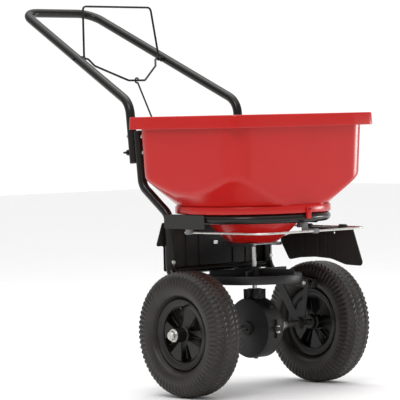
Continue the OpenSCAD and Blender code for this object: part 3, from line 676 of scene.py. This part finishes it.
def deflector():
    edge = [(-168, 424), (8, 424), (12, 408), (70, 404), (112, 392), (74, 333), (30, 340), (-25, 343),
            (-85, 340), (-140, 325), (-206, 323)]
    bends = [8, 3, 4, 30, 10, 10, 60, 120, 90, 60, 10]
    loop = [(p.x, p.y) for p in filleted(edge, bends, step=6, closed=True)]
    panel = shifted(moved(plate(loop, 3, [circle((-100, 410), 3)], bevel=0.8), ALONG_X), x=ROD_X + 5)
    parts = [panel]
    for y0, y1 in ((-150, -126), (-20, 4)):
        parts.append(moved(ring(3.1, 7, 0, y1 - y0, 1.0), turn_to((0, 1, 0), (ROD_X, y0, ROD_Z))))
        parts.append(block((7.5, y1 - y0 - 2, 10), (ROD_X + 4, (y0 + y1) / 2, ROD_Z - 6.5)))
    for y in (-70, -40):
        parts.append(block((4, 4, 70), (ROD_X + 4, y + 2, 385), bevel=0.9))
    for y in (-168, -112, -84, 20, 56):
        parts.append(block((1.6, 3, 62), (ROD_X + 4.6, y, 372), bevel=0.4))
    make("side_deflector", merged(*parts), "deflector_group", "guard_black", "deflector")


# ---- wheels ----------------------------------------------------------------------------

def smooth_step(a, b, x):
    t = max(0.0, min(1.0, (x - a) / (b - a)))
    return t * t * (3 - 2 * t)


def tyre(side):
    """Rounded section with four rows of slanted tread blocks and ribbed shoulders."""
    mid = (WHEEL_R + RIM_R) / 2 + 0.5
    half_h = (WHEEL_R - RIM_R) / 2 - 0.5
    half_w = TYRE_W / 2
    section = []
    for i in range(SECTION_POINTS + 1):
        a = math.pi / 2 + SECTION_SPAN * (i / SECTION_POINTS - 0.5)
        c, s = math.cos(a), math.sin(a)
        section.append((mid + half_h * math.copysign(abs(s) ** SECTION_POWER, s),
                        half_w * math.copysign(abs(c) ** SECTION_POWER, c), a))
    bead = [(99, 30.5, -0.9), (96.6, 28, -1.0), (95.6, 24, -1.1), (92, 21, -1.1), (88.5, 19.5, -1.1)]
    section = ([(r, x, a) for r, x, a in reversed(bead)] + section
               + [(r, -x, math.pi - a) for r, x, a in bead])
    verts = []
    around = TREAD_PITCHES * TREAD_STEPS
    for r, x, a in section:
        across = x / half_w
        lean = BLOCK_LEAN
        if abs(across) < 2 * ROW_WIDTH:
            lean *= abs((across / ROW_WIDTH) % 2 - 1)
        shoulder = smooth_step(0.66, 0.72, abs(across)) * smooth_step(130, 139, r)
        groove = 1.0
        for line in (-2 * ROW_WIDTH - 0.02, -ROW_WIDTH, 0.0, ROW_WIDTH, 2 * ROW_WIDTH + 0.02):
            groove = min(groove, smooth_step(0.012, 0.045, abs(across - line)))
        tread = smooth_step(0.70, 0.62, abs(across)) if r > mid + 12 else 0.0
        row_index = int(math.floor((across + 2) / ROW_WIDTH))
        band = 0.7 * (smooth_step(1.2, 0.2, abs(r - 110)) + smooth_step(1.2, 0.2, abs(r - 122)))
        for k in range(around):
            phase = k + (TREAD_STEPS // 2) * (row_index % 2) * (1 if abs(across) < 0.62 else 0)
            rib = RIB_HEIGHTS[phase % TREAD_STEPS]
            drop = TREAD_DROP * tread * (1 - groove * (0.18 + 0.82 * rib))
            drop += SHOULDER_DROP * shoulder * (1 - rib)
            radial = r - drop * math.sin(a) if math.sin(a) > 0 else r
            sideways = x - drop * math.cos(a) * 0.7 + band * math.copysign(0.5, x) * (abs(across) > 0.7)
            phi = 2 * math.pi * k / around + lean
            verts.append(Vector((sideways, radial * math.cos(phi), radial * math.sin(phi))))
    faces = []
    m = len(section)
    for i in range(m - 1):
        for k in range(around):
            k2 = (k + 1) % around
            faces.append((i * around + k, i * around + k2, (i + 1) * around + k2, (i + 1) * around + k))
    stem = moved(lathe([(3.2, 0), (3.2, 12), (2.6, 12.6), (2.6, 20), (3.6, 20), (3.6, 27), (2.4, 28)], 20),
                 turn_to((1, 0, -0.25), (20, -20, 78)))
    name = "left" if side > 0 else "right"
    body = "drive_axle" if side > 0 else "free_wheel"
    shape = (verts, faces)
    if side < 0:
        shape = mirrored(shape)
        stem = mirrored(stem)
    place = Matrix.Translation((side * WHEEL_X, 0, AXLE_Z))
    make(f"{name}_tread", moved(shape, place), body, "tyre", f"{name}_tyre", sharp=50)
    make(f"{name}_valve", moved(stem, place), body, "rim_black")


def wedge(turn, half_angle, r0, r1):
    """Outline of a wheel opening, narrow at the hub."""
    outer = arc((0, 0), r1, turn - half_angle, turn + half_angle, 10)
    a = math.radians(turn)
    apex = (r0 * math.cos(a), r0 * math.sin(a))
    points = [(apex[0] + 3 * math.sin(a), apex[1] - 3 * math.cos(a)), *outer,
              (apex[0] - 3 * math.sin(a), apex[1] + 3 * math.cos(a))]
    bends = [2, 5, *[0] * 9, 5, 2]
    return [(p.x, p.y) for p in filleted(points, bends, step=15, closed=True)]


def rim_half(bore, hub, first, closed):
    """One half of the wheel's rim, with its outer face towards +X. A thin web can close it."""
    holes = [wedge(first + 72 * k, 18, 24, 71) for k in range(5)]
    face = moved(plate(circle((0, 0), 75, 120), 4, [circle((0, 0), bore, 32), *holes], bevel=0.8), ALONG_X)
    lip = lathe([(76, 0.1), (87, 0.1), (87, 17), (88.5, 19.2), (93.2, 21.4), (93.5, 23), (93.5, 27),
                 (92.6, 29), (90.4, 30.2), (88.4, 29.4), (86.6, 27.6), (80, 26.8), (77.6, 26.4), (75.6, 25),
                 (73.6, 23.4), (73, 21), (73.6, 18), (76, 16)], 120, closed=True)
    barrel = lathe([(bore, 0.1), (HUB_R, 0.1), (HUB_R, 18), (HUB_R + 3, 21), (HUB_R + 3, 22.4),
                    (HUB_R, 25), (HUB_R - 0.6, hub - 1.4), (HUB_R - 2, hub), (bore + 0.6, hub),
                    (bore, hub - 0.6)], 64, closed=True)
    parts = [shifted(face, x=18), moved(merged(lip, barrel), ALONG_X)]
    for k in range(5):
        a = math.radians(first + 36 + 72 * k)
        web = block((13, 2.4, 34), (0, 0, 46), bevel=0.6)
        parts.append(moved(web, Matrix.Rotation(a - math.pi / 2, 4, "X") @ Matrix.Translation((12, 0, 0))))
    if closed:
        parts.append(moved(ring(bore + 1, 78, 0.6, 2.2, segments=96), ALONG_X))
    return merged(*parts)


def rims():
    outer = rim_half(AXLE_R + 0.1, HUB_OUT, 8, False)
    inner = mirrored(rim_half(AXLE_R + 0.1, HUB_IN, 44, True))
    for side, name, body in ((1, "left", "drive_axle"), (-1, "right", "free_wheel")):
        place = Matrix.Translation((side * WHEEL_X, 0, AXLE_Z))
        out = outer if side > 0 else mirrored(outer)
        back = inner if side > 0 else mirrored(inner)
        make(f"{name}_wheel_outer", moved(out, place), body, "rim_black", f"{name}_rim_outer")
        make(f"{name}_wheel_inner", moved(back, place), body, "rim_black", f"{name}_rim_inner")


def axle_parts():
    half = WHEEL_X + HUB_OUT + 13
    shaft = moved(rod(AXLE_R, -half, half, 1.2, 40), turn_to((1, 0, 0), (0, 0, AXLE_Z)))
    make("axle_shaft", shaft, "drive_axle", "shaft_steel", "axle")
    washer_x = WHEEL_X + HUB_OUT + 0.5
    washer = merged(ring(8.1, 17, 0, 1.4), ring(8.1, 14, 1.4, 3))
    at_side = turn_to((1, 0, 0), (washer_x, 0, AXLE_Z))
    make("hub_discs", pair(moved(washer, at_side)), "drive_axle", "zinc", "hub_washers")
    nut = shifted(merged(hex_head(13.6, 6.4), ring(8.1, 11, 6.2, 8.4)), z=3)
    make("castle_nuts", pair(moved(nut, at_side)), "drive_axle", "zinc", "axle_nuts")
    collar = merged(ring(8.1, 14, 96, 108, 0.8), moved(hex_head(3.2, 3), turn_to((1, 0, 0), (13, 0, 102))))
    make("shaft_collars", pair(moved(collar, turn_to((1, 0, 0), (0, 0, AXLE_Z)))), "drive_axle", "zinc",
         "axle_collars")
    pin = Vector((WHEEL_X + HUB_OUT - 10, 0, AXLE_Z))
    head = [pin + Vector((0, 5 * math.cos(a), 25.5 + 3 * math.sin(a))) for a in
            (2 * math.pi * k / 24 for k in range(24))]
    end = Vector((0, 0, 22))
    shape = merged(sweep([pin - end, pin + end], 3, 16), sweep(head, 1.0, 8, True))
    make("hub_pin", shape, "drive_axle", "zinc", "drive_pin")


# ---- gearbox and spinner ---------------------------------------------------------------

def gearbox():
    """Two half drums bolted together at the axle's height, with a neck for the spinner shaft."""
    profile = [(11.1, -DRUM_HALF - 8), (16.8, -DRUM_HALF - 8), (18, -DRUM_HALF - 7), (18.8, -DRUM_HALF - 0.8),
               (22, -DRUM_HALF), (DRUM_R - 5, -DRUM_HALF), (DRUM_R - 1.6, -DRUM_HALF + 1.2),
               (DRUM_R, -DRUM_HALF + 4.6)]
    profile += [(r, -h) for r, h in reversed(profile)]
    steps = 48
    for low in (False, True):
        verts, faces = [], []
        for r, h in profile:
            for k in range(steps + 1):
                a = math.pi * k / steps + (math.pi if low else 0)
                verts.append(Vector((h, r * math.cos(a), r * math.sin(a))))
        row = steps + 1
        m = len(profile)
        for i in range(m):
            j = (i + 1) % m
            for k in range(steps):
                faces.append((i * row + k, i * row + k + 1, j * row + k + 1, j * row + k))
        faces.append(tuple(i * row for i in range(m)))
        faces.append(tuple(i * row + steps for i in reversed(range(m))))
        sign = -1 if low else 1
        drum = shifted((verts, faces), z=AXLE_Z + sign * 0.05)
        parts = [drum]
        for y in (-1, 1):
            ear = block((28, 17, 4.7), (0, y * (FLANGE_Y - 8.5), AXLE_Z + sign * 2.5), corner=6)
            parts.append(ear)
            parts.append(block((5, 10, 22), (0, y * (DRUM_R + 1), AXLE_Z + sign * 14), bevel=1.0))
        seam_y = DRUM_R + 0.6
        for y in (seam_y, -seam_y):
            parts.append(block((2 * (DRUM_HALF - 6), 6, 3.4), (0, y, AXLE_Z + sign * 1.8)))
        if low:
            drain = moved(hex_head(6, 4), turn_to((0, 0, -1), (0, 0, AXLE_Z - DRUM_R + 1)))
            parts.append(drain)
            make("gearbox_sump", merged(*parts), "chassis", "plastic_black", "gearbox_lower")
        else:
            neck = shifted(lathe([(6.5, 60), (24, 66), (23, 80), (20.6, 86), (20, 88), (20, 101), (19, 104),
                                  (9, 104), (8.6, 103), (6.5, 103)], 56, closed=True), z=AXLE_Z)
            parts.append(neck)
            parts.append(block((34, 40, 14), (0, 0, AXLE_Z + DRUM_R + 3), corner=6, bevel=1.6))
            for k in range(4):
                fin = block((3, 15, 26), (0, 22, AXLE_Z + 90), bevel=0.8)
                turn = Matrix.Rotation(math.radians(45 + 90 * k), 4, "Z")
                parts.append(moved(fin, turn))
            filler = moved(rod(7, 0, 9, 1.5), turn_to((0, -0.7, 0.7), (0, -56, AXLE_Z + 56)))
            parts.append(filler)
            make("gearbox_cover", merged(*parts), "chassis", "plastic_black", "gearbox_upper")
    screws = [moved(bolt(10.6), Matrix.Translation((0, s * (FLANGE_Y - 6), AXLE_Z + 5.3))
                    @ Matrix.Rotation(math.pi, 4, "X")) for s in (-1, 1)]
    make("gearbox_screws", merged(*screws), "chassis", "zinc", "gearbox_bolts")


def spinner():
    profile = [(6.4, -8), (16, -8), (18, -6.5), (18, -1.2), (20, 0), (100, 0), (123.6, 3.6), (124, 2.4),
               (124, -13), (124.6, -14), (126.4, -14), (127, -13), (127, 7), (126.4, 8), (124, 8),
               (121, 6.2), (100, 3), (21, 3), (18.6, 4.2), (18, 6), (18, 26.5), (16.6, 28), (6.4, 28)]
    disc = shifted(lathe(profile, 120, closed=True), z=SPINNER_Z)
    parts = [disc]
    for k in range(5):
        fin = block((SPINNER_R - 24, 3, 19), (17 + (SPINNER_R - 24) / 2, 0, SPINNER_Z + 12), bevel=0.7)
        flange = block((SPINNER_R - 34, 9, 2), (21 + (SPINNER_R - 34) / 2, 3, SPINNER_Z + 20.5), bevel=0.5)
        parts.append(moved(merged(fin, flange), Matrix.Rotation(math.radians(72 * k), 4, "Z")))
    for k in range(30):
        nib = block((1.6, 3.4, 15), (SPINNER_R - 0.9, 0, SPINNER_Z - 4), bevel=0.4)
        parts.append(moved(nib, Matrix.Rotation(math.radians(12 * k), 4, "Z")))
    make("spinner_disc", merged(*parts), "spinner_group", "plastic_black", "spinner")
    shaft = lathe([(SHAFT_R - 1, 195), (SHAFT_R, 196), (SHAFT_R, 428), (SHAFT_R - 2, 430)], 40)
    make("upright_shaft", shaft, "spinner_group", "shaft_steel", "spinner_shaft", look="upright_steel")
    z = 412
    wire = sweep(filleted([(-52, 0, z + 26), (-52, 0, z), (52, 0, z), (52, 0, z + 26)], 8, 10), 2.5, 16)
    make("stirrer", wire, "spinner_group", "shaft_steel", "agitator")


# ---- controls --------------------------------------------------------------------------

def controls():
    side = BAIL_X - TUBE_R - 12
    path = filleted([(-side, BAIL_Y, BAIL_Z), (-GRIP_X, BAIL_Y + 17, BAIL_Z + BAIL_H),
                     (GRIP_X, BAIL_Y + 17, BAIL_Z + BAIL_H), (side, BAIL_Y, BAIL_Z)], 12, 7.5)
    sleeve = moved(ring(3.2, 5.5, -4, 4, 0.6, 32), turn_to((1, 0, 0), (side, BAIL_Y, BAIL_Z)))
    start = path[0] + (path[1] - path[0]).normalized() * 4.4
    loop = sweep([start, *path[1:-1], Vector((-start.x, start.y, start.z))], WIRE_R, 16)
    make("hand_bail", merged(loop, pair(sleeve)), "bail_group", "frame_black", "bail")
    out = BAIL_X + TUBE_R + 6
    crank = side - 14
    half = [(out, BAIL_Y, BAIL_Z), (crank, BAIL_Y, BAIL_Z), (crank - 12, BAIL_Y - 14, BAIL_Z - 20),
            (30, HOOK.y, HOOK.z)]
    path = [(-x, y, z) for x, y, z in half] + half[::-1]
    loop = sweep(filleted(path, 9, 10), WIRE_R, 16, cap=1.2)
    make("crank_loop", loop, "bail_group", "frame_black", "crank_wire")
    tip = LEVER + Vector((0, LEVER_ARM, 0))
    along = (tip - HOOK).normalized()
    angle = math.atan2(along.z, along.y)
    curl_r = WIRE_R + 2.5 + 1.2
    curl = []
    for k in range(37):
        a = angle + math.radians(-4 + 285 * k / 36)
        curl.append(HOOK + Vector((0, math.cos(a), math.sin(a))) * curl_r)
    lift = along.cross(Vector((1, 0, 0)))
    ends = []
    for centre, start_a in ((1, -90), (-10, 90)):
        for k in range(13):
            a = math.radians(start_a + 180 * k / 12)
            ends.append(tip + along * (centre + 7.2 * math.cos(a)) - lift * 7.2 * math.sin(a))
    eye = sweep(ends, 1.3, 12, closed=True)
    straight = sweep([HOOK + along * (curl_r - 0.5), tip - along * 17.4], 2.5, 16)
    make("pull_rod", merged(sweep(curl, 2.5, 16), straight, eye), "rod_group", "frame_black", "control_rod")


def carried_over():
    """CAD nodes whose plain shape is right keep it and get a finish."""
    slots = {s["node"]: s["material_slot"] for s in frame["record"]["subparts"]}
    kept = ["axle_bushings", "gearbox_bushings", "shaft_bushing", "bail_bushings", "gate_guides",
            "lever_bracket", "gate_lever", "gate_plate", "crown_gear", "pinion", "left_inner_tube",
            "right_inner_tube"]
    for name in kept:
        obj = frame["nodes"][name]
        obj.data.materials.clear()
        obj.data.materials.append(MATERIALS[slots[name]])
        obj.data.shade_smooth()
        obj.data.set_sharp_from_angle(angle=math.radians(32))


# ---- stage -----------------------------------------------------------------------------

def lamp(name, place, aim, size, power, colour=(1, 1, 1)):
    data = bpy.data.lights.new(name, "AREA")
    data.shape = "RECTANGLE"
    data.size, data.size_y = size
    data.energy = power
    data.color = colour
    obj = bpy.data.objects.new(name, data)
    bpy.context.scene.collection.objects.link(obj)
    obj.location = place
    obj.rotation_euler = (Vector(aim) - Vector(place)).to_track_quat("-Z", "Y").to_euler()


def stage():
    """Pale floor, soft lamps, and a backdrop that is bright where the camera looks."""
    floor_mesh = bpy.data.meshes.new("floor")
    half = 14  # metres
    corners = [(-half, -half, 0), (half, -half, 0), (half, half, 0), (-half, half, 0)]
    floor_mesh.from_pydata(corners, [], [(0, 1, 2, 3)])
    floor = bpy.data.objects.new("floor", floor_mesh)
    bpy.context.scene.collection.objects.link(floor)
    floor.location.z = -0.0005
    floor_mesh.materials.append(material("floor_white", (0.93, 0.93, 0.93), 0.9, mottle=0.01, grain=0.02))
    world = bpy.data.worlds.new("studio")
    world.use_nodes = True
    nodes, links = world.node_tree.nodes, world.node_tree.links
    direction = nodes.new("ShaderNodeTexCoord")
    facing = nodes.new("ShaderNodeVectorMath")
    facing.operation = "DOT_PRODUCT"
    facing.inputs[1].default_value = (-math.sin(HEADING), math.cos(HEADING), 0)
    wall = nodes.new("ShaderNodeMapRange")
    wall.inputs["From Min"].default_value = 0.80
    wall.inputs["From Max"].default_value = 0.95
    wall.inputs["To Min"].default_value = 0.42
    wall.inputs["To Max"].default_value = 1.05
    links.new(direction.outputs["Generated"], facing.inputs[0])
    links.new(facing.outputs["Value"], wall.inputs["Value"])
    links.new(wall.outputs["Result"], nodes["Background"].inputs["Strength"])
    nodes["Background"].inputs["Color"].default_value = (1, 1, 1, 1)
    bpy.context.scene.world = world
    bpy.context.scene.view_settings.view_transform = "Standard"
    lamp("key", (-3.2, -2.2, 3.4), (0, 0, 0.5), (1.6, 1.6), 45)
    lamp("fill", (3.4, -1.6, 0.5), (0, 0, 0.15), (1.2, 0.5), 30)
    lamp("top", (0.2, 0.2, 3.6), (0, 0, 0.5), (2.4, 2.4), 50)
    sky = bpy.data.lights.new("sky", "SUN")
    sky.energy = 1.7
    sky.angle = math.radians(100)
    overhead = bpy.data.objects.new("sky", sky)
    bpy.context.scene.collection.objects.link(overhead)


def camera():
    """The photographic viewpoint: far off, front right, level with the hopper's rim."""
    distance, height = 6.6335, 0.7324
    yaw, pitch, roll = (math.radians(a) for a in (-1.21, 1.94, -1.25))
    a = HEADING
    forward = Vector((-math.sin(a), math.cos(a), 0))
    right = Vector((math.cos(a), math.sin(a), 0))
    up = Vector((0, 0, 1))
    forward, right = (forward * math.cos(yaw) + right * math.sin(yaw),
                      right * math.cos(yaw) - forward * math.sin(yaw))
    forward, up = (forward * math.cos(pitch) - up * math.sin(pitch),
                   up * math.cos(pitch) + forward * math.sin(pitch))
    right, up = (right * math.cos(roll) + up * math.sin(roll),
                 up * math.cos(roll) - right * math.sin(roll))
    data = bpy.data.cameras.new("camera")
    data.sensor_width = 36
    data.lens = 224.4
    data.clip_end = 60
    cam = bpy.data.objects.new("camera", data)
    bpy.context.scene.collection.objects.link(cam)
    matrix = Matrix((right, up, -forward)).transposed().to_4x4()
    matrix.translation = (math.sin(a) * distance, -math.cos(a) * distance + AXLE_Y, height)
    cam.matrix_world = matrix
    bpy.context.scene.camera = cam


camera()
stage()
hopper()
frame_tubes()
plugs()
brackets()
fasteners()
guard()
deflector()
tyre(1)
tyre(-1)
rims()
axle_parts()
gearbox()
spinner()
controls()
carried_over()
